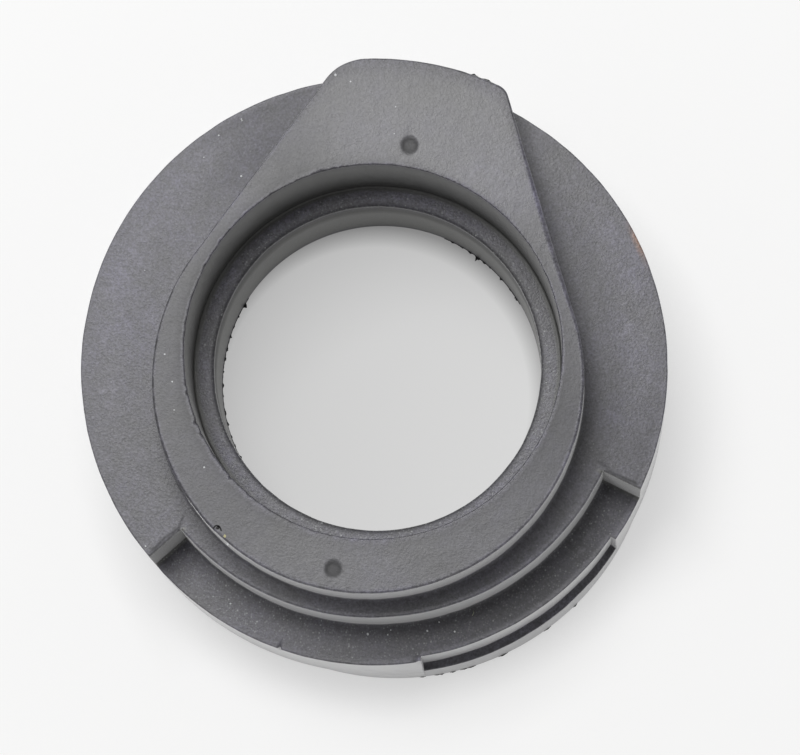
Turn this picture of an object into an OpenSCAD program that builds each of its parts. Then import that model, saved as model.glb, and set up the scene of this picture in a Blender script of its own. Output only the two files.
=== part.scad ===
// Moulded rubber grommet, one piece.
// The origin is on the bore's axis at the base face. +Z is up, and +Y points to the tab.

/* [Base disc] */
// Outer diameter of the base disc
base_d = 55; // [52:0.5:60]
// Height of the disc's full rim
rim_h = 16.5; // [14:0.5:18]
// How far the disc's centre lies from the bore's axis, away from the tab
base_shift = 0.7; // [0:0.1:1]

/* [Bore] */
// Diameter of the lower bore
bore_d = 31; // [26:0.5:33]
// Height of the ledge between the two bores
ledge_h = 11; // [8:0.5:13]
// Diameter of the upper, wider bore
counterbore_d = 35; // [34:0.5:36]
// Radius of the fillet between the ledge and the upper bore's wall
ledge_fillet = 0.4; // [0.1:0.1:0.4]

/* [Collar] */
// Outer diameter of the raised collar
collar_d = 40; // [39:0.5:43]
// Height of the collar's flat top
collar_h = 22; // [20:0.5:26]
// How far the collar's centre lies from the bore's axis, away from the tab
collar_shift = 2.6; // [2:0.1:3]

/* [Tab] */
// How far the tab's outer end passes the disc's rim
tab_past = 0.8; // [0.5:0.1:3]
// Slope of each tab flank, measured from the disc's middle line
flank_angle = 26.5; // [22:0.5:30]
// Radius of the tab's two outer corners
tab_corner_r = 1.6; // [0.8:0.1:2.5]

/* [Recess] */
// Height of the recess floor in the disc's rim
recess_h = 10; // [8:0.5:12]
// Diameter of the full-height step left inside the recess
step_d = 47.2; // [46:0.2:50]
// Direction of the recess end on the tab's left
recess_start = -128.5; // [-140:0.5:-120]
// Direction of the recess end on the tab's right
recess_end = -16.5; // [-22:0.5:-10]

/* [Rim notch] */
// Direction of the notch end nearer the middle of the recess
notch_start = -71.5; // [-80:0.5:-60]
// Direction of the notch end nearer the recess end
notch_end = -26; // [-40:1:-24]
// How far the notch wall is set back from the rim
notch_depth = 0.5; // [0.2:0.1:0.8]
// Height of the lip left below the notch
lip_h = 2.8; // [2:0.2:5]
// How far the lip swells past the rim
lip_swell = 0.8; // [0.4:0.1:1]
// Direction in which the lip swells most
lip_angle = -54; // [-60:1:-48]
// How far the centre of the lip's own arc lies from the disc's centre
lip_offset = 3.6; // [3:0.1:5]

/* [Pin marks] */
// Diameter of the two round pin marks on the collar's top
mark_d = 1.6; // [1.2:0.1:2]
// Depth of the pin marks
mark_depth = 0.2; // [0.1:0.05:0.4]
// Distance between the two pin marks
mark_spacing = 40.2; // [40:0.1:40.4]
// How far the middle between the marks lies from the bore's axis, away from the tab
mark_shift = 0.5; // [0.4:0.1:0.6]

/* [Hidden] */

$fn = 96;
// How far a cut runs past the face that it opens
past = 1;

base_r = base_d / 2;
bore_r = bore_d / 2;
counterbore_r = counterbore_d / 2;
collar_r = collar_d / 2;
base_centre = [0, -base_shift];
collar_centre = [0, -collar_shift];
notch_r = base_r - notch_depth;
// Distance from the bore's axis to the tab's outer end
tab_reach = base_r - base_shift + tab_past;
lip_r = base_r + lip_swell - lip_offset;
// Radius that is surely outside the part
clear_r = max(base_r + base_shift, tab_reach) + lip_swell + past;

// Unit vector in a direction of the XY plane
function dir(a) = [cos(a), sin(a)];
function mirrored(p) = [-p[0], p[1]];

// The right flank is the collar's tangent whose normal points to flank_angle.
flank_out = dir(flank_angle);
flank_up = dir(flank_angle + 90);
flank_foot = collar_centre + collar_r * flank_out;
// The corner's arc touches the flank from inside, and the tab's end arc too.
corner_out = flank_foot * flank_out - tab_corner_r;
corner_up = sqrt(pow(tab_reach - tab_corner_r, 2) - pow(corner_out, 2));
corner_centre = corner_out * flank_out + corner_up * flank_up;
corner_touch = corner_centre + tab_corner_r * flank_out;
corner_past = corner_centre * clear_r / norm(corner_centre);

// Outline of the collar with the tab, without the bore
module collar_outline() {
    translate(collar_centre) circle(r = collar_r);
    intersection() {
        circle(r = tab_reach);
        polygon([
            collar_centre, flank_foot, corner_touch, corner_centre, corner_past,
            [0, 2 * clear_r],
            mirrored(corner_past), mirrored(corner_centre), mirrored(corner_touch), mirrored(flank_foot)
        ]);
    }
    for (side = [1, -1])
        translate([side * corner_centre[0], corner_centre[1]]) circle(r = tab_corner_r);
}

// Wedge about the bore's axis between two directions less than 180 degrees apart
module wedge(a0, a1, z0, z1) {
    reach = 3 * clear_r;
    translate([0, 0, z0]) linear_extrude(z1 - z0)
        polygon([[0, 0], reach * dir(a0), reach * dir((a0 + a1) / 2), reach * dir(a1)]);
}

// What is cut from the rim down to the recess floor, outside the step
module recess_cut() {
    difference() {
        wedge(recess_start, recess_end, recess_h, rim_h + past);
        translate([0, -base_shift, recess_h - past]) cylinder(h = rim_h, r = step_d / 2);
    }
}

// What is cut from the rim's wall between the recess floor and the lip
module notch_cut() {
    difference() {
        wedge(notch_start, notch_end, lip_h, recess_h + past);
        translate([0, -base_shift, lip_h - past]) cylinder(h = recess_h, r = notch_r);
    }
}

// Half section of the two bores, with the fillet at the ledge
module bore_section() {
    translate([0, -past]) square([bore_r, ledge_h + 2 * past]);
    difference() {
        translate([0, ledge_h]) square([counterbore_r, collar_h - ledge_h + past]);
        difference() {
            translate([counterbore_r - ledge_fillet, ledge_h])
                square([ledge_fillet, ledge_fillet]);
            translate([counterbore_r - ledge_fillet, ledge_h + ledge_fillet])
                circle(r = ledge_fillet);
        }
    }
}

// Base disc with the recess, the notch and the lip below it
module base_disc() {
    difference() {
        translate([0, -base_shift, 0]) cylinder(h = rim_h, r = base_r);
        recess_cut();
        notch_cut();
    }
    lip_centre = base_centre + lip_offset * dir(lip_angle);
    translate([lip_centre[0], lip_centre[1], 0]) cylinder(h = lip_h, r = lip_r);
}

module grommet() {
    color("#34343a")
    difference() {
        union() {
            base_disc();
            linear_extrude(collar_h) collar_outline();
        }
        rotate_extrude() bore_section();
        for (side = [1, -1])
            translate([0, side * mark_spacing / 2 - mark_shift, collar_h - mark_depth])
                cylinder(h = mark_depth + past, d = mark_d);
    }
}

grommet();
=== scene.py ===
import math

import bpy
import numpy as np
from mathutils import Matrix, Vector


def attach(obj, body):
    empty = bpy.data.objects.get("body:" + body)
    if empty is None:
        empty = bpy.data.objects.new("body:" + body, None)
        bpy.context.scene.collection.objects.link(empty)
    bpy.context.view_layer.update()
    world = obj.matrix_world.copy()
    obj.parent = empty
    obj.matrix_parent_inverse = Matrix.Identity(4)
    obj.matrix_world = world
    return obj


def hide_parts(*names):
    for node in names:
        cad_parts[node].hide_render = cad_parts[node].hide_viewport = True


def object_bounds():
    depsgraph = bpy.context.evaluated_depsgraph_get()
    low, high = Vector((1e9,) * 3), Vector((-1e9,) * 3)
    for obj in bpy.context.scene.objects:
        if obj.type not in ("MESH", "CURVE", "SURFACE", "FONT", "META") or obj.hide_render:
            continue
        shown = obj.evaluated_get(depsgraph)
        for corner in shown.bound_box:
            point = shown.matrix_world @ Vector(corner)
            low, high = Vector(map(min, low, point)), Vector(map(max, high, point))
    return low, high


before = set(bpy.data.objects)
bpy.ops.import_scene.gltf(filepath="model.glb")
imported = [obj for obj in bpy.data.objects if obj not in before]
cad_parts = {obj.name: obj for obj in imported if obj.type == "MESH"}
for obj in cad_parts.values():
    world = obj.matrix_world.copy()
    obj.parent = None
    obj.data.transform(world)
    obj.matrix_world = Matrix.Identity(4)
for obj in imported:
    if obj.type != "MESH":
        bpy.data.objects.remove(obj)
cad_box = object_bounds()
MM = 0.001

# The grommet's body: one block of black rubber from a two-part mould. A round disc carries an
# eccentric collar, which runs out into a wide tab. A stepped bore goes through both, and a
# recess with a notched wall is cut from the disc's rim. All its lengths are in millimetres.
TOP, RIM, FLOOR, LEDGE, LIP = 22.0, 16.5, 10.0, 11.0, 2.8
BORE_R, COUNTERBORE_R, COLLAR_R, STEP_R, BASE_R = 15.5, 17.5, 20.0, 23.6, 27.5
COLLAR_CENTRE = (0.0, -2.6)
BASE_CENTRE = (0.0, -0.7)
TAB_PAST, RIGHT_CORNER_R, LEFT_CORNER_R, FLANK_ANGLE = 0.8, 1.6, 4.8, math.radians(26.5)
TAB_REACH = BASE_R + BASE_CENTRE[1] + TAB_PAST
RECESS_START, RECESS_END = -128.5, -16.5
NOTCH_START, NOTCH_END, NOTCH_DEPTH = -71.5, -26.0, 0.5
LIP_SWELL, LIP_OFFSET, LIP_ANGLE = 0.8, 3.6, math.radians(-54)
LIP_R = BASE_R + LIP_SWELL - LIP_OFFSET
PIN_MARKS = ((0.0, 19.6), (0.0, -20.6))
PIN_MARK_R, PIN_MARK_DEPTH = 0.8, 0.12
# Small marks of wear: a spot in plan, half the length, half the width and, but for the chip, a
# turn in degrees. A depth is how far the surface gives way outward and downward.
RIM_NICK, NICK_DEPTH = ((-4.5, -27.9), 0.34, 0.12, -99), (0.22, 0.2)
NOTCH_CHIP, CHIP_DEPTH = ((8.7, -26.7), 0.22, 0.3), (0.12, 0.18)
STAIN, STAIN_STRENGTH = ((22.35, 15.05), 1.5, 0.24, -56), 0.7
# Each scuff also has how much paler it is than the rubber round it.
SCUFFS = ((((-24.5, -7.2), 0.35, 0.15, 60), 0.9), (((-23.6, -7.1), 0.3, 0.12, 60), 0.6),
          (((22.6, 6.5), 0.4, 0.15, 40), 0.8), (((6.3, 18.2), 0.6, 0.18, 50), 0.5),
          (((22.2, -13.05), 1.6, 0.1, 75), 0.7))
# Where the body's columns of points crowd: a direction in degrees, a width and a gain.
CROWDED = ((RECESS_START, 0.9, 7), (RECESS_END, 0.9, 7), (NOTCH_START, 0.6, 6), (NOTCH_END, 0.6, 6),
           (75.5, 5.0, 1.4), (106.5, 3.0, 1.6), (90, 2.4, 1.6), (-90, 2.4, 1.6), (-99.1, 0.6, 3))
# A cut's end drops sheer between two columns, this many degrees to either side of it.
CLIFF_HALF = 0.012
COLUMNS = 764
dice = np.random.default_rng(7)


def reach(theta, centre, radius):
    """Distance from the bore's axis to a circle in each direction: the far root of |t u - c| = r."""
    along = centre[0] * np.cos(theta) + centre[1] * np.sin(theta)
    off_axis = centre[0] ** 2 + centre[1] ** 2 - along ** 2
    return along + np.sqrt(np.maximum(radius ** 2 - off_axis, 0))


def waves(x, y, z, shortest, longest, count):
    """Smooth noise, mostly between -1 and 1: a sum of cosines with random directions, lengths
    and phases."""
    total = np.zeros_like(x)
    for _ in range(count):
        way = dice.normal(size=3)
        way *= 2 * math.pi / (np.linalg.norm(way) * dice.uniform(shortest, longest))
        total += np.cos(way[0] * x + way[1] * y + way[2] * z + dice.uniform(0, 2 * math.pi))
    return total / math.sqrt(2 * count)


def directions():
    """Directions round the bore in degrees: even steps of a running total that grows faster
    near the ends of the recess and notch, the tab's corners, the pin marks and the nick."""
    fine = np.linspace(-180, 180, 36001)
    crowd = np.ones_like(fine)
    for middle, width, gain in CROWDED:
        crowd += gain * np.exp(-((fine - middle) / width) ** 2)
    total = np.concatenate([[0], np.cumsum(crowd[1:] + crowd[:-1])])
    even = np.interp(np.linspace(0, total[-1], COLUMNS, endpoint=False), total, fine)
    cliffs = [end + side for end in (RECESS_START, RECESS_END, NOTCH_START, NOTCH_END)
              for side in (-CLIFF_HALF, CLIFF_HALF)]
    return np.sort(np.concatenate([even, cliffs]))


def collar_reach(theta, corner_r):
    """Outline of the collar with the tab: the collar's circle, a tangent flank on each side,
    a rounded corner and the tab's end arc, chosen by the angle from the tab's middle."""
    aside = np.abs((theta - math.pi / 2 + math.pi) % (2 * math.pi) - math.pi)
    mirrored = math.pi / 2 - aside
    normal = np.array([math.cos(FLANK_ANGLE), math.sin(FLANK_ANGLE)])
    flank_gap = COLLAR_R + normal @ np.array(COLLAR_CENTRE)
    inner_gap = flank_gap - corner_r
    rise = math.sqrt((TAB_REACH - corner_r) ** 2 - inner_gap ** 2)
    corner = inner_gap * normal + rise * np.array([-normal[1], normal[0]])
    touch = corner + corner_r * normal
    foot = np.array(COLLAR_CENTRE) + COLLAR_R * normal
    flank = flank_gap / np.maximum(np.cos(mirrored - FLANK_ANGLE), 0.2)
    rounded = reach(np.clip(mirrored, math.atan2(touch[1], touch[0]) - 0.01, math.pi / 2 - 0.2),
                    corner, corner_r)
    return np.select(
        [mirrored < math.atan2(foot[1], foot[0]), mirrored < math.atan2(touch[1], touch[0]),
         mirrored < math.atan2(corner[1], corner[0])],
        [reach(mirrored, COLLAR_CENTRE, COLLAR_R), flank, rounded], TAB_REACH)


def cliff(inside, top_round, foot_round, height):
    """Depth of a cut with a steep end: a quarter round over the edge, a sheer drop where
    inside is zero, and a quarter round into the floor."""
    over = np.clip(inside + top_round, 0, top_round)
    into = np.clip(foot_round - inside, 0, foot_round)
    crest = top_round - np.sqrt(top_round ** 2 - over ** 2)
    floor = height - foot_round + np.sqrt(foot_round ** 2 - into ** 2)
    return np.where(inside < 0, crest, floor)


def near_angle(middle, width):
    """A soft window round the bore: 1 in the middle direction, falling as a Gaussian of the angle."""
    aside = (degrees - middle + 180) % 360 - 180
    return np.exp(-(aside / width) ** 2)


def near_place(x, y, spot, half_length, half_width, turn=0.0):
    """A soft oval patch on the plan: 1 at the spot, falling as a Gaussian along and across it."""
    along = (x - spot[0]) * math.cos(math.radians(turn)) + (y - spot[1]) * math.sin(math.radians(turn))
    across = (y - spot[1]) * math.cos(math.radians(turn)) - (x - spot[0]) * math.sin(math.radians(turn))
    return np.exp(-(along / half_length) ** 2 - (across / half_width) ** 2)


degrees = directions()
theta = np.radians(degrees)
one = np.ones_like(theta)
mid_rim = math.radians(1) * (STEP_R + BASE_R) / 2
in_recess = np.minimum(degrees - RECESS_START, RECESS_END - degrees) * mid_rim
depth = cliff(in_recess, 0.22, 0.3, RIM - FLOOR)
in_notch = np.minimum(degrees - NOTCH_START, NOTCH_END - degrees) * mid_rim
notch = np.clip(in_notch / 0.05 + 0.5, 0, 1)
collar = np.where(np.cos(theta) > 0, collar_reach(theta, RIGHT_CORNER_R),
                  collar_reach(theta, LEFT_CORNER_R))
base = reach(theta, BASE_CENTRE, BASE_R)
outer = np.maximum(base, collar)
lip_centre = (BASE_CENTRE[0] + LIP_OFFSET * math.cos(LIP_ANGLE),
              BASE_CENTRE[1] + LIP_OFFSET * math.sin(LIP_ANGLE))
swell = np.maximum(reach(theta, lip_centre, LIP_R) - base, 0)
shelf = base - collar
flat = np.clip(shelf / 0.3, 0, 1)
near_recess = np.clip(1 + (in_recess + 0.6) / 0.8, 0, 1)
step = np.clip(np.maximum(reach(theta, BASE_CENTRE, STEP_R), collar + 0.25 * shelf), collar, outer)
step_foot = np.minimum(step + 0.02 + 0.3 * (1 - near_recess), outer)
ragged = 0.25 + near_angle(130, 26) + 1.5 * near_angle(-142, 20)
trim = ragged * np.maximum(waves(20 * np.cos(theta), 20 * np.sin(theta), 0 * theta, 0.5, 2.5, 30), 0)
right_flank = near_angle(45, 22)

# Corners of the section, from the bore's lower edge up, over the top and down the outside.
corners_r = np.array([
    BORE_R * one, BORE_R * one, COUNTERBORE_R * one, COUNTERBORE_R + 0.06 * trim,
    collar, collar, step, step_foot, outer - NOTCH_DEPTH * notch,
    outer - NOTCH_DEPTH * notch + 0.4 * swell * (1 - notch), outer + swell * (0.75 - 0.3 * notch),
    outer + swell])
corners_z = np.array([
    0 * one, LEDGE * one, LEDGE * one, TOP * one, TOP * one, RIM * one,
    RIM - 1.2 * (1 - flat), RIM - depth - 2.4 * (1 - flat), RIM - depth - 3.6 * (1 - flat),
    LIP + 2.4 * (1 - notch), LIP * one, 0 * one])
rounding = np.array([
    0.12 * one, 0.3 * one, 0.25 * one, 0.12 + 0.14 * trim,
    0.2 - 0.1 * near_angle(140, 50) + 0.3 * right_flank,
    np.maximum(0.3 * flat, 0.06), 0.2 * one, 0.3 * one, 0.12 * one, 0.1 * one, 0.1 * one, 0.16 * one])
between = [5, 4, 5, 15, 3, 4, 2, 6, 3, 2, 2, 3]


def corner_cut(radius, before, after):
    """How far a rounded corner reaches along its two sides, and how far its support points do."""
    shorter = np.minimum(before, after)
    cut = np.minimum(radius, 0.4 * shorter)
    return cut, np.minimum(cut + 0.07, 0.44 * shorter)


def rounded_section(r, z, radius, counts):
    """Section points of every column: each corner becomes a parabola between its two tangent
    points with a support point on either side, and the sides between get even points. On the
    collar's top they crowd to the pin marks' distance instead."""
    points, stations = [], []
    corners = len(counts)
    for k in range(corners):
        here = np.array([r[k], z[k]])
        back = np.array([r[k - 1], z[k - 1]]) - here
        ahead = np.array([r[(k + 1) % corners], z[(k + 1) % corners]]) - here
        back_length = np.hypot(*back) + 1e-9
        ahead_length = np.hypot(*ahead) + 1e-9
        cut, extra = corner_cut(radius[k], back_length, ahead_length)
        start, end = here + back / back_length * cut, here + ahead / ahead_length * cut
        points.append(here + back / back_length * extra)
        for t in (0, 1 / 3, 2 / 3, 1):
            points.append((1 - t) ** 2 * start + 2 * t * (1 - t) * here + t ** 2 * end)
        points.append(here + ahead / ahead_length * extra)
        stations += [k] * 6
        shares = [np.full_like(cut, (i + 1) / (counts[k] + 1)) for i in range(counts[k])]
        if k == 3:
            width = ahead_length - 2 * extra
            middle = np.minimum(2.59 - 0.51 * np.sin(theta) - extra, 0.5 * width)
            crowd = np.clip(width / 5, 0.2, 1)
            marks = [middle + crowd * offset for offset in np.linspace(-1.05, 1.05, 11)]
            before = [marks[0] * share for share in (0.35, 0.7)]
            after = [marks[-1] + (width - marks[-1]) * share for share in (0.15, 0.33, 0.55, 0.78)]
            shares = [offset / width for offset in before + marks + after]
        far = here + ahead
        last = np.array([r[(k + 2) % corners], z[(k + 2) % corners]]) - far
        last_length = np.hypot(*last) + 1e-9
        next_extra = corner_cut(radius[(k + 1) % corners], ahead_length, last_length)[1]
        near_point, far_point = points[-1], far - ahead / ahead_length * next_extra
        points.extend(near_point + (far_point - near_point) * share for share in shares)
        stations += [k + (i + 1) / (len(shares) + 1) for i in range(len(shares))]
    return np.array(points), np.array(stations)[:, None]


section, station = rounded_section(corners_r, corners_z, rounding, between)
radius, height = section[:, 0, :], section[:, 1, :]
x, y = radius * np.cos(theta), radius * np.sin(theta)
unevenness = waves(x, y, height, 1.5, 7, 36)
lumps = waves(x, y, height, 0.5, 1.6, 30)
above_base = np.clip(height / 1.5, 0, 1)
radius = radius + above_base * (0.02 * unevenness + 0.006 * lumps)
height = height - above_base * np.abs(0.014 * unevenness + 0.004 * lumps)
nick = near_place(x, y, *RIM_NICK) * (height > FLOOR - 0.7)
chip = near_place(x, y, *NOTCH_CHIP) * (height > FLOOR - 1.0)
radius = radius - NICK_DEPTH[0] * nick - CHIP_DEPTH[0] * chip
height = height - NICK_DEPTH[1] * nick - CHIP_DEPTH[1] * chip

# Which surface each point of the section lies on, from 0 to 1.
bore_wall = ((station > 0) & (station < 1)) * one
on_ledge = ((station >= 1) & (station < 2)) * one
counterbore_wall = ((station >= 2) & (station < 3)) * one
on_top = ((station > 3) & (station < 4)) * one
on_flange = ((station >= 5) & (station < 8)) * (height > RIM - 0.5) * flat
recess_floor = ((station >= 7) & (station < 8)) * (depth > 3)
end_wall = ((station >= 6) & (station < 9)) * np.clip(1 - np.abs(in_recess - 0.1) / 0.35, 0, 1)

# The rubber's colour is multiplied at each point by a factor: 1 on plain rubber, less in the pin marks and
# the nick, and more on scuffs and the chip. Most of the other terms are painted light and shade: darker at
# the feet of walls, in corners and creases, along edges and on the sides turned from the lamp, and paler on
# the walls and toward the lamp. A term that acts toward one side only is a soft window round a direction, in
# degrees from +X.
# Painted shade: a dark line along the ledge's inner edge, and the counterbore wall darker toward its foot.
tone_and_painted_light = one - 0.62 * np.exp(-((radius - BORE_R - 0.14) / 0.26) ** 2) * (np.abs(station - 1) < 0.25)
tone_and_painted_light = tone_and_painted_light * (1 - 0.3 * ((station >= 2) & (station < 3)) * np.clip(1 - (height - LEDGE) / 5, 0, 1))
# Painted light and shade on the collar's top: paler toward the tab and darker away from it, darker near the
# tab's end, lighter and darker in a few more directions, and darker along the inner edge, most to the left.
tone_and_painted_light = tone_and_painted_light - on_top * (0.12 - 0.12 * near_angle(90, 45) - 0.05 * near_angle(-92, 25)
                        + 0.07 * near_angle(-20, 45) + 0.06 * near_angle(190, 40))
tone_and_painted_light = tone_and_painted_light - 0.2 * on_top * np.exp(-np.abs(TAB_REACH - radius) / 1.2) * near_angle(90, 20)
tone_and_painted_light = tone_and_painted_light + on_top * (0.12 * near_angle(70, 13) - 0.12 * near_angle(124, 11) - 0.14 * near_angle(-12, 20)
                        - 0.08 * near_angle(235, 25))
tone_and_painted_light = tone_and_painted_light - on_top * np.exp(-(radius - COUNTERBORE_R) / 0.6) * (0.15 + 0.2 * near_angle(190, 85))
# Painted light and shade on the flange: darker by the collar's foot, most to the right; a paler band on its
# outer part to the left and upper right; darker patches to the upper left and the right.
from_collar = np.clip(radius - collar, 0, 20)
tone_and_painted_light = tone_and_painted_light - on_flange * np.exp(-from_collar / 2.8) * (0.26 * near_angle(0, 75) + 0.12 * near_angle(45, 30))
tone_and_painted_light = tone_and_painted_light + on_flange * np.exp(-((radius - 25.0) / 1.4) ** 2) * (0.28 * near_angle(175, 42)
                                                                    + 0.2 * near_angle(28, 32))
tone_and_painted_light = tone_and_painted_light - on_flange * (0.22 * near_angle(124, 18) + 0.2 * near_angle(-10, 16))
# Painted shade: the flange strip below the collar on the lower side, and the recess floor, most to the lower
# right and by the recess's ends.
painted_shade_below_collar = ((station >= 5) & (station < 6)) * near_angle(-68, 48)
tone_and_painted_light = tone_and_painted_light - (0.16 + 0.3 * near_angle(-55, 42)) * painted_shade_below_collar * np.clip(from_collar / 1.2, 0, 1)
tone_and_painted_light = tone_and_painted_light - recess_floor * (0.07 + 0.42 * near_angle(-45, 34) + 0.35 * np.exp(-np.abs(in_recess) / 1.1))
# Painted highlight: the ledge paler, with a pale band along its middle, less so toward the lower side.
tone_and_painted_light = tone_and_painted_light + on_ledge * (0.15 - 0.12 * near_angle(-105, 50) + 0.2 * np.exp(-((radius - 16.4) / 0.35) ** 2))
edge_row = (station == np.roll(station, 1, axis=0)) & (station == np.roll(station, -1, axis=0))
# Painted shade at the lower left: the ledge beside the counterbore wall, and the top's inner edge.
painted_shade_lower_left = near_angle(-145, 38)
tone_and_painted_light = tone_and_painted_light - 0.35 * painted_shade_lower_left * on_ledge * np.exp(-(COUNTERBORE_R - radius) / 0.6)
tone_and_painted_light = tone_and_painted_light - 0.4 * painted_shade_lower_left * ((station == 3) & edge_row)
run, rise = np.gradient(radius, axis=0), np.gradient(height, axis=0)
steep = np.abs(rise) / (np.hypot(run, rise) + 1e-9)
outer_wall = np.where(flat > 0, steep ** 3, 1.0) * (station > 4)
# Painted reflection: the outer walls are paler, standing in for the white paper they mirror. Painted shade:
# the collar wall is darker toward the lower left.
tone_and_painted_light = tone_and_painted_light + outer_wall * (0.5 - 0.8 * near_angle(214, 20) * (station < 5))
# Painted shade: the collar's top edge is darker and ragged toward the lower left. Painted light: the same
# edge is paler on the right flank.
collar_edge = ((station == 4) & edge_row) * one
tone_and_painted_light = tone_and_painted_light - 0.7 * collar_edge * np.clip(lumps + 0.5, 0, 1) * near_angle(200, 45)
tone_and_painted_light = tone_and_painted_light + 0.45 * collar_edge * right_flank
# Painted shade: a dark line on the flange beside each end of the recess. The nick is darker and the chip
# paler.
from_end = 0.35 + 0.08 * lumps + 0.4 * np.exp(-((radius - STEP_R + 0.3) / 0.5) ** 2)
painted_crease_shade = np.exp(-((in_recess + from_end) / 0.13) ** 2) * on_flange * (radius > STEP_R - 0.5)
tone_and_painted_light = tone_and_painted_light * (1 - 0.6 * painted_crease_shade) * (1 - 0.6 * nick) * (1 + 1.2 * chip)
for mark in PIN_MARKS:
    apart = np.hypot(x - mark[0], y - mark[1])
    pit = np.clip((PIN_MARK_R + 0.08 - apart) / 0.36, 0, 1) * (height > RIM + 1)
    pit = pit ** 2 * (3 - 2 * pit)
    height = height - PIN_MARK_DEPTH * pit
    ring = np.exp(-((apart - 0.85 * PIN_MARK_R) / 0.22) ** 2) * (height > RIM + 1)
    tone_and_painted_light = tone_and_painted_light * (1 - 0.58 * pit - 0.25 * ring)
for scuff, gain in SCUFFS:
    tone_and_painted_light = tone_and_painted_light * (1 + gain * near_place(x, y, *scuff) * (station > 3))
plain = np.maximum.reduce([0.6 * bore_wall, counterbore_wall, 0.6 * on_top, end_wall, outer_wall])
olive = np.maximum.reduce([bore_wall, 0.8 * counterbore_wall, end_wall, 0.25 * on_top])
sparkle = np.maximum.reduce([on_ledge, (0.7 + 0.3 * near_angle(-112, 34)) * recess_floor, 0.3 * on_flange,
                             0.06 * on_top])
by_rim_edge = (station > 7) * (station < 9) * (height > RIM - 1)
stain = near_place(x, y, *STAIN) * by_rim_edge * STAIN_STRENGTH
x, y = radius * np.cos(theta), radius * np.sin(theta)
low, high = np.array(cad_box[0]) / MM, np.array(cad_box[1]) / MM
place = np.stack([np.clip(x, low[0], high[0]), np.clip(y, low[1], high[1]),
                  np.clip(height, low[2], high[2])], axis=-1)


def ring_faces(rows, columns):
    """Quads of a grid that closes both ways: each joins a point to its neighbours."""
    row, column = np.meshgrid(np.arange(rows), np.arange(columns), indexing="ij")
    up, right = (row + 1) % rows, (column + 1) % columns
    return np.stack([row * columns + column, up * columns + column,
                     up * columns + right, row * columns + right], axis=-1).reshape(-1, 4)


def mesh_piece(name, points, faces, material):
    """A smooth mesh object at the origin, from points in millimetres, that rides on the part."""
    mesh = bpy.data.meshes.new(name)
    mesh.from_pydata((np.asarray(points).reshape(-1, 3) * MM).tolist(), [],
                     faces.tolist() if isinstance(faces, np.ndarray) else faces)
    mesh.shade_smooth()
    mesh.materials.append(material)
    piece = bpy.data.objects.new(name, mesh)
    bpy.context.scene.collection.objects.link(piece)
    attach(piece, "root")
    return piece


def node(tree, kind, x_place, y_place, **values):
    """A shader node with its plain values set."""
    made = tree.nodes.new(kind)
    made.location = (x_place, y_place)
    for key, value in values.items():
        if key in made.inputs:
            made.inputs[key].default_value = value
        else:
            setattr(made, key, value)
    return made


def map_range(tree, x_place, y_place, source, low, high, to_low, to_high):
    """A value carried from one range to another. An end of a range is a number or another output."""
    made = node(tree, "ShaderNodeMapRange", x_place, y_place)
    for key, value in (("From Min", low), ("From Max", high), ("To Min", to_low), ("To Max", to_high)):
        if isinstance(value, float):
            made.inputs[key].default_value = value
        else:
            tree.links.new(value, made.inputs[key])
    tree.links.new(source, made.inputs["Value"])
    return made.outputs["Result"]


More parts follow.
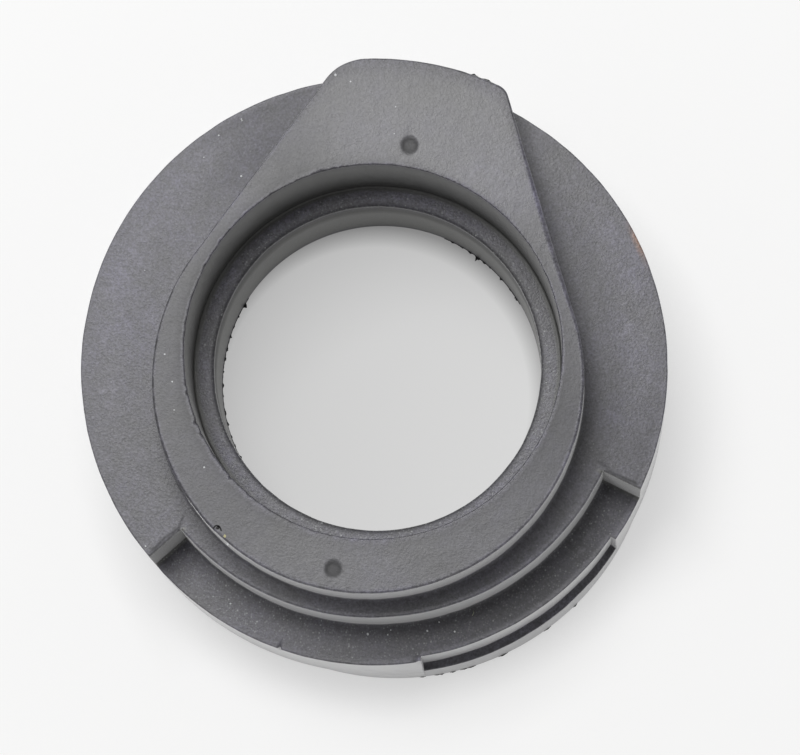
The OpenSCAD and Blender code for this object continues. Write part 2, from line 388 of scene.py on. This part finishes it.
def rubber_material(name, bloom, polish=0.0, shine=0.0):
    """Matte black rubber: a grey that drifts between a cool and a warm tint over millimetres, a fine grain
    in colour and relief, and darker or paler spots and painted light and shade from a factor stored on the
    mesh. Its bloom, the pale haze of old rubber, is a sheen that shows where the surface turns away."""
    material = bpy.data.materials.new(name)
    material.use_nodes = True
    tree = material.node_tree
    link = tree.links.new
    shader = tree.nodes["Principled BSDF"]
    shader.inputs["Specular IOR Level"].default_value = 0.75
    shader.inputs["Sheen Weight"].default_value = bloom
    shader.inputs["Sheen Roughness"].default_value = 0.5
    shader.inputs["Coat Weight"].default_value = shine
    shader.inputs["Coat Roughness"].default_value = 0.32
    place_in = node(tree, "ShaderNodeTexCoord", -1400, 0).outputs["Object"]

    drift = node(tree, "ShaderNodeTexNoise", -1200, 300, Scale=150.0, Detail=3.0, Roughness=0.55)
    grain = node(tree, "ShaderNodeTexNoise", -1200, 0, Scale=4200.0, Detail=3.0, Roughness=0.65)
    patch = node(tree, "ShaderNodeTexNoise", -1200, -300, Scale=1300.0, Detail=2.0, Roughness=0.6)
    crumbs = node(tree, "ShaderNodeTexVoronoi", -1200, 600, Scale=2000.0)
    powder = node(tree, "ShaderNodeTexVoronoi", -1200, 1400, Scale=4600.0)
    for texture in (drift, grain, patch, crumbs, powder):
        link(place_in, texture.inputs["Vector"])

    def amount(y_place, name):
        """One of the mesh's own point values."""
        return node(tree, "ShaderNodeAttribute", -1200, y_place, attribute_name=name).outputs["Fac"]

    def spread(x_place, y_place, source, low, high, to_low, to_high):
        """A value of this material carried from one range to another."""
        return map_range(tree, x_place, y_place, source, low, high, to_low, to_high)

    def combine(x_place, y_place, operation, first, second):
        """Two values joined by a plain sum, product or comparison."""
        made = node(tree, "ShaderNodeMath", x_place, y_place, operation=operation)
        for socket, value in zip(made.inputs, (first, second)):
            if isinstance(value, float):
                socket.default_value = value
            else:
                link(value, socket)
        return made.outputs["Value"]

    def blend(x_place, y_place, factor, first, second):
        """Two colours mixed by a factor."""
        made = node(tree, "ShaderNodeMix", x_place, y_place, data_type="RGBA")
        link(factor, made.inputs[0])
        for socket, value in ((made.inputs[6], first), (made.inputs[7], second)):
            if isinstance(value, tuple):
                socket.default_value = (*value, 1)
            else:
                link(value, socket)
        return made.outputs[2]

    tint = node(tree, "ShaderNodeValToRGB", -950, 300)
    tint.color_ramp.elements[0].position = 0.3
    tint.color_ramp.elements[0].color = (*WARM_GREY, 1)
    tint.color_ramp.elements[1].position = 0.72
    tint.color_ramp.elements[1].color = (*COOL_GREY, 1)
    link(drift.outputs["Fac"], tint.inputs["Fac"])
    tinted = blend(-700, 300, amount(800, "olive"), tint.outputs["Color"], OLIVE_GREY)
    tinted = blend(-500, 300, amount(950, "stain"), tinted, STAIN_BROWN)

    plain = amount(-700, "plain")
    speck = spread(-950, 0, grain.outputs["Fac"], 0.3, 0.7, -0.6, 0.6)
    softened = combine(-750, 0, "MULTIPLY", speck, spread(-950, -700, plain, 0.0, 1.0, 1.0, 0.35))
    blotch = spread(-950, -300, patch.outputs["Fac"], 0.3, 0.7, -0.36, 0.36)
    blotch = combine(-750, -300, "MULTIPLY", blotch, spread(-950, -700, plain, 0.0, 1.0, 1.0, 0.4))
    blotch = combine(-650, -300, "ADD", blotch, 1.0)
    gain = combine(-550, -100, "MULTIPLY", combine(-600, 0, "ADD", softened, 1.0), blotch)
    drifted = spread(-950, 150, drift.outputs["Fac"], 0.3, 0.7, 0.92, 1.08)
    gain = combine(-500, -200, "MULTIPLY", gain, drifted)
    gain = combine(-450, -200, "MULTIPLY", gain, amount(-550, "tone_and_painted_light"))
    colour = node(tree, "ShaderNodeVectorMath", -300, 200, operation="SCALE")
    link(tinted, colour.inputs["Vector"])
    link(gain, colour.inputs["Scale"])

    def flecks(y_place, source, inner, outer, least, most):
        """Round pale dots, one in each of the cells whose own random value passes the least one."""
        dot = spread(-950, y_place, source.outputs["Distance"], inner, outer, 1.0, 0.0)
        cell = node(tree, "ShaderNodeSeparateColor", -950, y_place + 150)
        link(source.outputs["Color"], cell.inputs["Color"])
        kept = spread(-750, y_place + 150, cell.outputs["Red"], least, 0.95, 0.0, most)
        return combine(-700, y_place, "MULTIPLY", dot, kept)

    fleck = combine(-600, 600, "MAXIMUM", flecks(600, crumbs, 0.1, 0.22, 0.3, 0.8),
                    flecks(1400, powder, 0.15, 0.5, 0.35, 0.42))
    fleck = combine(-550, 600, "MULTIPLY", fleck, amount(1100, "sparkle"))
    link(blend(-100, 300, fleck, colour.outputs["Vector"], FLECK_WHITE), shader.inputs["Base Color"])

    uneven = spread(-750, -450, patch.outputs["Fac"], 0.0, 1.0, -0.05, 0.05)
    smoother = spread(-750, -600, plain, 0.0, 1.0, ROUGHNESS_GRAINED - polish, ROUGHNESS_PLAIN - polish)
    duller = spread(-750, -550, amount(-550, "tone_and_painted_light"), 0.0, 1.0, DULLNESS, 0.0)
    gloss = combine(-400, -450, "ADD", combine(-550, -450, "ADD", uneven, smoother), duller)
    link(gloss, shader.inputs["Roughness"])

    relief = node(tree, "ShaderNodeBump", -300, -400, Strength=0.3, Distance=0.00006)
    link(softened, relief.inputs["Height"])
    link(relief.outputs["Normal"], shader.inputs["Normal"])
    return material


WARM_GREY, COOL_GREY, OLIVE_GREY = (0.060, 0.058, 0.066), (0.066, 0.063, 0.087), (0.066, 0.067, 0.058)
STAIN_BROWN, FLECK_WHITE = (0.24, 0.11, 0.05), (0.32, 0.33, 0.33)
ROUGHNESS_GRAINED, ROUGHNESS_PLAIN, DULLNESS = 0.43, 0.37, 0.35
rubber = rubber_material("moulded_rubber", 1.0)
bore_rubber = rubber_material("bore_rubber", 0.1)
faces = ring_faces(*radius.shape)
body = mesh_piece("grommet_body", place, faces, rubber)
body.data.materials.append(bore_rubber)
body.data.materials.append(rubber_material("wall_rubber", 1.0, 0.15, shine=0.7))
in_bores = (station < 1) | ((station >= 2) & (station < 3)) | ((station == 3) & edge_row)
on_flanks = (station == 4) & edge_row & ((np.abs(degrees - 30) < 45) | (degrees > 130) | (degrees < -121))
next_run, next_rise = np.roll(radius, -1, axis=0) - radius, np.roll(height, -1, axis=0) - height
on_wall = (station >= 4) & (np.abs(next_rise) > 1.5 * np.abs(next_run))
kinds = np.where(in_bores | on_flanks, 1, np.where(on_wall, 2, 0))
body.data.polygons.foreach_set("material_index", kinds.ravel().astype(np.int32))
for name, values in (("tone_and_painted_light", tone_and_painted_light), ("plain", plain), ("olive", olive), ("sparkle", sparkle),
                     ("stain", stain)):
    layer = body.data.attributes.new(name, "FLOAT", "POINT")
    layer.data.foreach_set("value", (values * one).ravel().astype(np.float32))
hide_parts("grommet")

# Flash is the thin skin of rubber that was squeezed between the halves of the mould. It is
# still there as ragged fins on the bore's lower edge, as small dashes round the base below
# the recess, and as two nubs on the tab's end.
FIN_THICK, BORE_FIN_BOTTOM, RIM_FIN_BOTTOM, TAB_NUB_DROP = 0.1, 0.02, 0.05, 0.5
BORE_RAGGED = ((40, 77), (157, 220))
BORE_FIN_COUNTS, BORE_FIN_REACH, BORE_FIN_HALF = (8, 14), (0.07, 0.2), (0.16, 0.27)
TALL_BORE_FINS = ((63, 0.34, 0.25), (160, 0.3, 0.2))
RIM_RAGGED = ((-72.5, -61.5), (-58, -36))
RIM_FIN_COUNTS, RIM_FIN_REACH, RIM_FIN_HALF = (6, 3), (0.05, 0.08), (0.12, 0.3)
TAB_NUBS = ((80, 0.15, 0.3), (77.5, 0.09, 0.35))


def tube_faces(rings, around, first=0):
    """Faces of a closed tube: quads between rings of points, and a cap on each end."""
    ring, spoke = np.meshgrid(np.arange(rings - 1), np.arange(around), indexing="ij")
    after = (spoke + 1) % around
    quads = np.stack([ring * around + spoke, ring * around + after,
                      (ring + 1) * around + after, (ring + 1) * around + spoke], axis=-1).reshape(-1, 4)
    caps = [list(range(around))[::-1], list(range((rings - 1) * around, rings * around))]
    return [[first + int(v) for v in face] for face in quads.tolist() + caps]


def fin(angles, edge, tip, low, high):
    """A flat blade along an edge of the plan: its root lies just behind the edge, its tip at the
    given distance from the bore's axis, and its section is a thin four-sided wedge."""
    root = edge - 0.06 * np.sign(tip - edge)
    thin = 0.25 * (high - low)
    outline = [(root, low), (tip, low + thin), (tip, high - thin), (root, high)]
    if tip.mean() < edge.mean():
        outline = outline[::-1]
    return np.stack([np.stack([r * np.cos(angles), r * np.sin(angles), z + 0 * angles], axis=-1)
                     for r, z in outline], axis=1)


def joined(name, tubes, material):
    """One piece from several closed tubes, each an array of rings of points."""
    points, faces = [], []
    for rings in tubes:
        faces += tube_faces(rings.shape[0], rings.shape[1], len(points))
        points += rings.reshape(-1, 3).tolist()
    piece = mesh_piece(name, np.clip(points, low, high), faces, material)
    piece.data.shade_flat()
    return piece


def blade_tips(tips, edge_at, way, bottom, thick):
    """Short blades, one for each tip's direction, reach and half width: the reach falls from the
    tip as a Gaussian with a crooked top."""
    tubes = []
    for middle, reach_out, half in tips:
        shift = np.linspace(-1.8, 1.8, 11)
        angles = np.radians(middle) + shift * half / edge_at(np.radians(middle))
        edge = edge_at(angles)
        profile = np.exp(-shift ** 2) * (1 + 0.25 * dice.normal(size=11)) + 0.02
        tubes.append(fin(angles, edge, edge + way * reach_out * profile, bottom, bottom + thick))
    return tubes


def bore_edge(angles):
    """The lower bore's circle."""
    return BORE_R + 0 * angles


def foot_edge(angles):
    """The base's outline with the lip's swell, read between the body's columns."""
    return np.interp(np.degrees(angles), degrees, outer + swell)


def tab_edge(angles):
    """The tab's outer end, read between the body's columns."""
    return np.interp(np.degrees(angles), degrees, collar)


def drawn_tips(stretches, counts, reach_out, half):
    """Tips along each stretch in degrees: even steps, each moved by up to a third of a step,
    with a reach and a half width drawn between two values."""
    tips = []
    for (start, end), count in zip(stretches, counts):
        step_on = (end - start) / count
        for k in range(count):
            middle = start + (k + 0.5 + dice.uniform(-0.33, 0.33)) * step_on
            tips.append((middle, dice.uniform(*reach_out), dice.uniform(*half)))
    return tips


bore_tips = drawn_tips(BORE_RAGGED, BORE_FIN_COUNTS, BORE_FIN_REACH, BORE_FIN_HALF)
rim_tips = drawn_tips(RIM_RAGGED, RIM_FIN_COUNTS, RIM_FIN_REACH, RIM_FIN_HALF)
bore_fins = blade_tips((*bore_tips, *TALL_BORE_FINS), bore_edge, -1, BORE_FIN_BOTTOM, FIN_THICK)
for start, end in BORE_RAGGED:
    angles = np.radians(np.linspace(start, end, int((end - start) / 0.35)))
    roughness = waves(40 * np.cos(angles), 40 * np.sin(angles), 0 * angles, 0.7, 3, 20)
    torn_edge = BORE_R - (0.035 + 0.03 * np.abs(roughness))
    bore_fins.append(fin(angles, bore_edge(angles), torn_edge, 0.03, 0.03 + 0.6 * FIN_THICK))
fin_rubber = rubber_material("flash_rubber", 0.0)
joined("bore_flash", bore_fins, fin_rubber)
joined("rim_flash", blade_tips(rim_tips, foot_edge, 1, RIM_FIN_BOTTOM, FIN_THICK), fin_rubber)
joined("tab_flash", blade_tips(TAB_NUBS, tab_edge, 1, TOP - TAB_NUB_DROP, 3 * FIN_THICK), fin_rubber)

# Dust and lint have settled on the rubber: white specks, a yellow crumb and a dark curl by the
# collar's edge, pale flecks beside them, and a short fibre on the recess floor.
LARGEST_SPECKS = ((-8, 25, TOP, 0.14), (-15.5, 15, RIM, 0.11), (-18, -21, RIM, 0.1),
                  (3.5, -25, FLOOR, 0.12))
COLLAR_EDGE_FLECKS = ((-10, -20, TOP - 0.15, 0.12), (-8.5, -20.5, TOP - 0.15, 0.1))
# An area has a level, two directions, two distances from the bore's axis and a count of specks.
DUSTED_AREAS = ((TOP, -175, -130, 18.6, 20, 4), (TOP, 85, 105, 20, 26, 3), (RIM, 125, 172, 22, 26.5, 5),
                (FLOOR, -115, -62, 24.6, 26.6, 6))
CURL_BENDS = ((-0.4, -0.1), (-0.2, 0.25), (0.15, 0.2), (0.1, -0.05),
              (-0.1, -0.05), (0.0, 0.2), (0.25, 0.1), (0.4, -0.2))
CURL_THICK, FIBRE_THICK = 0.08, 0.035
DUST_WHITE, DUST_YELLOW, LINT_GREEN = (0.6, 0.61, 0.62), (0.45, 0.42, 0.24), (0.30, 0.31, 0.24)
YELLOW_CRUMB, DARK_CURL = (-10.4, -19.3, TOP - 0.1, 0.17), (-11.2, -18.7)
FIBRE = ((12.9, -21.1, FLOOR), (13.0, -21.3, FLOOR + 0.2), (12.9, -21.6, FLOOR + 0.1))


def crumb(x, y, z, size):
    """A lumpy grain: rings from pole to pole, each point's distance from the middle made uneven."""
    polar = np.linspace(0.12, math.pi - 0.12, 6)[:, None]
    turn = np.linspace(0, 2 * math.pi, 7, endpoint=False)[None, :]
    away = size * dice.uniform(0.75, 1.15, size=(6, 7))
    return np.stack([x + away * np.sin(polar) * np.cos(turn), y + away * np.sin(polar) * np.sin(turn),
                     z + 0.4 * size - 0.7 * away * np.cos(polar) + 0 * turn], axis=-1)


def thread(path, thick):
    """A thread with a five-sided section, carried along a path that bends smoothly between points."""
    path = np.array(path, float)
    steps = np.linspace(0, len(path) - 1, 25)
    line = np.stack([np.interp(steps, range(len(path)), path[:, k]) for k in range(3)], axis=-1)
    line[1:-1] = (line[:-2] + 2 * line[1:-1] + line[2:]) / 4
    ahead = np.gradient(line, axis=0)
    ahead /= np.linalg.norm(ahead, axis=1)[:, None]
    side = np.cross(ahead, [0.3, 0.2, 0.93])
    side /= np.linalg.norm(side, axis=1)[:, None]
    up = np.cross(side, ahead)
    turn = np.linspace(0, 2 * math.pi, 5, endpoint=False)[None, :, None]
    return line[:, None] + thick * (np.cos(turn) * side[:, None] + np.sin(turn) * up[:, None])


def dust_material(name, colour, drift):
    """Chalky dust: one colour that a fine noise makes lighter and darker."""
    material = bpy.data.materials.new(name)
    material.use_nodes = True
    tree = material.node_tree
    shader = tree.nodes["Principled BSDF"]
    shader.inputs["Roughness"].default_value = 0.9
    place_in = node(tree, "ShaderNodeTexCoord", -900, 0).outputs["Object"]
    noise = node(tree, "ShaderNodeTexNoise", -700, 0, Scale=6000.0, Detail=2.0)
    ramp = node(tree, "ShaderNodeValToRGB", -450, 0)
    ramp.color_ramp.elements[0].color = (*[part * (1 - drift) for part in colour], 1)
    ramp.color_ramp.elements[1].color = (*[min(part * (1 + drift), 1) for part in colour], 1)
    tree.links.new(place_in, noise.inputs["Vector"])
    tree.links.new(noise.outputs["Fac"], ramp.inputs["Fac"])
    tree.links.new(ramp.outputs["Color"], shader.inputs["Base Color"])
    return material


def drawn_specks(area):
    """Specks drawn over an area of the plan: a level, two directions, two distances and a count."""
    level, start, end, near, far, count = area
    turn, away = np.radians(dice.uniform(start, end, count)), dice.uniform(near, far, count)
    return [(r * math.cos(t), r * math.sin(t), level, dice.uniform(0.06, 0.1)) for t, r in zip(turn, away)]


specks = [*LARGEST_SPECKS, *COLLAR_EDGE_FLECKS]
for area in DUSTED_AREAS:
    specks += drawn_specks(area)
joined("dust_specks", [crumb(*speck) for speck in specks], dust_material("white_dust", DUST_WHITE, 0.2))
joined("yellow_crumb", [crumb(*YELLOW_CRUMB)], dust_material("yellow_dust", DUST_YELLOW, 0.25))
curl_path = [(DARK_CURL[0] + bend[0], DARK_CURL[1] + bend[1], TOP + 0.02) for bend in CURL_BENDS]
joined("dark_curl", [thread(curl_path, CURL_THICK)], fin_rubber)
joined("lint_fibre", [thread(FIBRE, FIBRE_THICK)], dust_material("lint", LINT_GREEN, 0.2))

# The floor is a wide sheet of plain white paper, which bounces light back onto the walls. The camera sees it
# nearly white, and through the bore greyer, with painted shade.
PAPER_HALF, PAPER_WHITE = 900.0, (0.94, 0.94, 0.935, 1)
PAPER_GLOW, PAPER_GLOW_IN_BORE = 0.5, 0.74
LEFT_IN_BORE, RIGHT_IN_BORE = 0.58, 0.69
CRESCENT_CENTRE, CRESCENT_START, CRESCENT_END, CRESCENT_DARK = (-0.4, -1.6), 14.9, 16.9, 0.45
paper_mesh = bpy.data.meshes.new("paper")
paper_mesh.from_pydata([(sx * PAPER_HALF * MM, sy * PAPER_HALF * MM, 0)
                        for sx, sy in ((-1, -1), (1, -1), (1, 1), (-1, 1))], [], [(0, 1, 2, 3)])
paper_material = bpy.data.materials.new("white_paper")
paper_material.use_nodes = True
paper_tree = paper_material.node_tree
paper_link = paper_tree.links.new
paper_shader = paper_tree.nodes["Principled BSDF"]
paper_shader.inputs["Base Color"].default_value = PAPER_WHITE
paper_shader.inputs["Roughness"].default_value = 0.9
paper_shader.inputs["Specular IOR Level"].default_value = 0.2
paper_place = node(paper_tree, "ShaderNodeTexCoord", -900, 0).outputs["Object"]
from_axis = node(paper_tree, "ShaderNodeVectorMath", -700, 0, operation="LENGTH")
paper_link(paper_place, from_axis.inputs[0])
under = map_range(paper_tree, -500, 0, from_axis.outputs["Value"], BORE_R * MM, BASE_R * MM,
                  PAPER_GLOW_IN_BORE, PAPER_GLOW)
# Painted light and shade on the paper in the bore: paler to the right, and a painted shadow close to the
# wall on the tab's side.
paper_axes = node(paper_tree, "ShaderNodeSeparateXYZ", -1100, -300)
paper_link(paper_place, paper_axes.inputs[0])
slope = map_range(paper_tree, -900, -300, paper_axes.outputs["X"], -BORE_R * MM, BORE_R * MM,
                  LEFT_IN_BORE, RIGHT_IN_BORE)
from_below = node(paper_tree, "ShaderNodeVectorMath", -1100, -500, operation="DISTANCE")
from_below.inputs[1].default_value = (CRESCENT_CENTRE[0] * MM, CRESCENT_CENTRE[1] * MM, 0)
paper_link(paper_place, from_below.inputs[0])
painted_crescent_shadow = map_range(paper_tree, -900, -500, from_below.outputs["Value"], CRESCENT_START * MM,
                     CRESCENT_END * MM, 1.0, CRESCENT_DARK)
in_bore = node(paper_tree, "ShaderNodeMath", -700, -400, operation="MULTIPLY")
paper_link(slope, in_bore.inputs[0])
paper_link(painted_crescent_shadow, in_bore.inputs[1])
shade = map_range(paper_tree, -500, -300, from_axis.outputs["Value"], BORE_R * MM, BASE_R * MM,
                  in_bore.outputs["Value"], 1.0)
glow = node(paper_tree, "ShaderNodeEmission", -100, -300, Color=(0.98, 0.98, 0.98, 1))
paper_link(shade, glow.inputs["Strength"])
# The glow is what the camera sees, directly or in a reflection, and it adds no other light.
ray = node(paper_tree, "ShaderNodeLightPath", -500, 300)
seen = node(paper_tree, "ShaderNodeMath", -300, 300, operation="MAXIMUM")
paper_link(ray.outputs["Is Camera Ray"], seen.inputs[0])
paper_link(ray.outputs["Is Glossy Ray"], seen.inputs[1])
share = node(paper_tree, "ShaderNodeMath", -100, 300, operation="MULTIPLY")
paper_link(seen.outputs["Value"], share.inputs[0])
paper_link(under, share.inputs[1])
lit = node(paper_tree, "ShaderNodeMixShader", 250, 0)
paper_link(share.outputs["Value"], lit.inputs["Fac"])
paper_link(paper_shader.outputs["BSDF"], lit.inputs[1])
paper_link(glow.outputs["Emission"], lit.inputs[2])
paper_link(lit.outputs["Shader"], paper_tree.nodes["Material Output"].inputs["Surface"])
paper_mesh.materials.append(paper_material)
paper = bpy.data.objects.new("paper", paper_mesh)
bpy.context.scene.collection.objects.link(paper)

# Light: a bright even room, and one large soft lamp high up beyond the tab, to its left. The
# lamp is wide, so the shadow that it throws to the lower right has a soft edge.
ROOM_LIGHT = 0.38
LAMP_SPOT, LAMP_SIDE, LAMP_WATTS = Vector((-120, 150, 590)) * MM, 290 * MM, 2.5
world = bpy.data.worlds.new("room")
bpy.context.scene.world = world
world.use_nodes = True
world.node_tree.nodes["Background"].inputs["Color"].default_value = (1, 1, 1, 1)
world.node_tree.nodes["Background"].inputs["Strength"].default_value = ROOM_LIGHT
lamp = bpy.data.lights.new("ceiling_light", "AREA")
lamp.shape = "SQUARE"
lamp.size = LAMP_SIDE
lamp.energy = LAMP_WATTS
lamp_holder = bpy.data.objects.new("ceiling_light", lamp)
bpy.context.scene.collection.objects.link(lamp_holder)
lamp_holder.location = LAMP_SPOT
lamp_holder.rotation_euler = (-LAMP_SPOT).to_track_quat("-Z", "Y").to_euler()

# The camera looks down from just beyond the recess, nearly along the bore, with a long lens. It
# is turned so that the tab leans to the right in the picture.
CAMERA_SPOT = Vector((28.9, -60.2, 459.1)) * MM
CAMERA_AIM = Vector((1.62, 0.9, 0.0)) * MM
CAMERA_TURN, CAMERA_LENS, SENSOR_WIDTH = math.radians(100.1), 215.1, 36.0
camera_data = bpy.data.cameras.new("camera")
camera_data.lens = CAMERA_LENS
camera_data.sensor_width = SENSOR_WIDTH
camera = bpy.data.objects.new("camera", camera_data)
bpy.context.scene.collection.objects.link(camera)
back = (CAMERA_SPOT - CAMERA_AIM).normalized()
across = Vector((math.cos(CAMERA_TURN), math.sin(CAMERA_TURN), 0)).cross(back).normalized()
camera_axes = Matrix((across, back.cross(across), back)).transposed()
camera.matrix_world = Matrix.Translation(CAMERA_SPOT) @ camera_axes.to_4x4()
bpy.context.scene.camera = camera
bpy.context.scene.view_settings.view_transform = "Standard"
